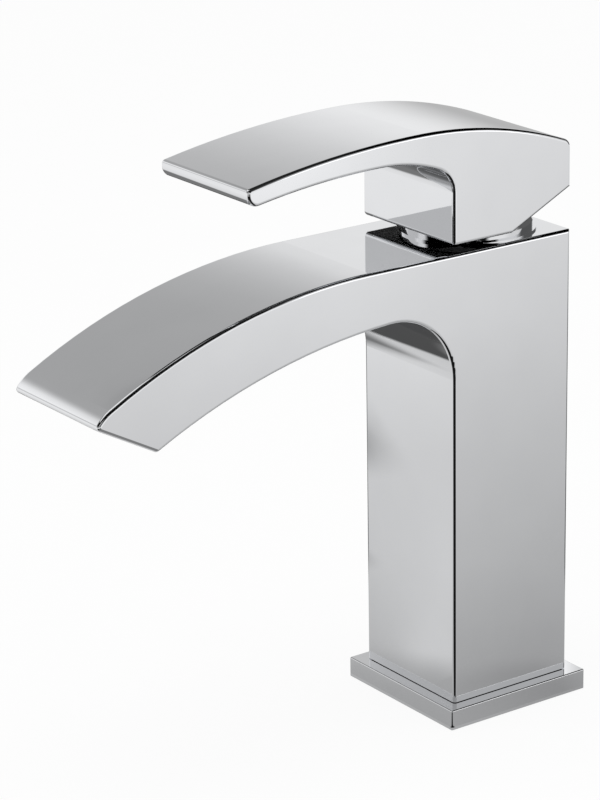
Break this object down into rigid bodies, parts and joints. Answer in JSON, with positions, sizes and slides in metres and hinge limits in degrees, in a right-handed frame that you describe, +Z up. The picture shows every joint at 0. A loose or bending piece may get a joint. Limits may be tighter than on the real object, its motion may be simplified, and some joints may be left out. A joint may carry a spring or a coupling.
{
  "type": "basin mixer tap",
  "caption": "Chrome single-lever basin mixer tap: square column on a square base plate, flat curved spout with an aerator, and a block handle whose lever lifts and turns.",
  "frame": {"origin": "centre of the column on the deck, at the underside of the base plate", "axes": "+Z up, -Y along the spout towards its outlet, +X to the cold side"},
  "size_m": [0.0512, 0.1676, 0.1824],
  "materials": {
    "chrome": "polished",
    "brass": "machined",
    "steel": "machined",
    "rubber": "matt",
    "ceramic": "lapped",
    "plastic": "moulded",
    "index": "gloss"
  },
  "bodies": {
    "tap_body": {"spout_body": "chrome", "base_plate": "chrome", "deck_gasket": "rubber", "collar_washer": "chrome", "collar": "chrome", "cartridge_nut": "brass", "cartridge_housing": "plastic", "housing_o_ring": "rubber", "limit_ring": "plastic", "cartridge_base": "plastic", "inlet_seal_hot": "rubber", "inlet_seal_cold": "rubber", "disc_seal_hot": "rubber", "disc_seal_cold": "rubber", "disc_seal_mixed": "rubber", "fixed_disc": "ceramic", "aerator_housing": "chrome", "aerator_insert": "plastic", "aerator_screen": "steel", "aerator_seal": "rubber"},
    "cartridge_rotor": {"stem_guide": "plastic", "pivot_pin": "steel"},
    "disc_slider": {"moving_disc": "ceramic", "disc_carrier": "plastic"},
    "handle": {"lever_handle": "chrome", "stem": "brass", "grub_screw": "steel", "index_plug": "index"}
  },
  "joints": [
    {"name": "temperature_turn", "type": "hinge", "parent": "tap_body", "child": "cartridge_rotor", "pos_m": [0, 0, 0.1372], "axis": [0, 0, 1], "range_deg": [-50, 50]},
    {"name": "flow_lift", "type": "hinge", "parent": "cartridge_rotor", "child": "handle", "pos_m": [0, 0, 0.1372], "axis": [-1, 0, 0], "range_deg": [0, 25]},
    {"name": "disc_slide", "type": "slide", "parent": "cartridge_rotor", "child": "disc_slider", "axis": [0, -1, 0], "range_m": [0, 0.006]}
  ],
  "couplings": [
    {"joint": "disc_slide", "follows": "flow_lift", "m_per_rad": 0.0137}
  ]
}
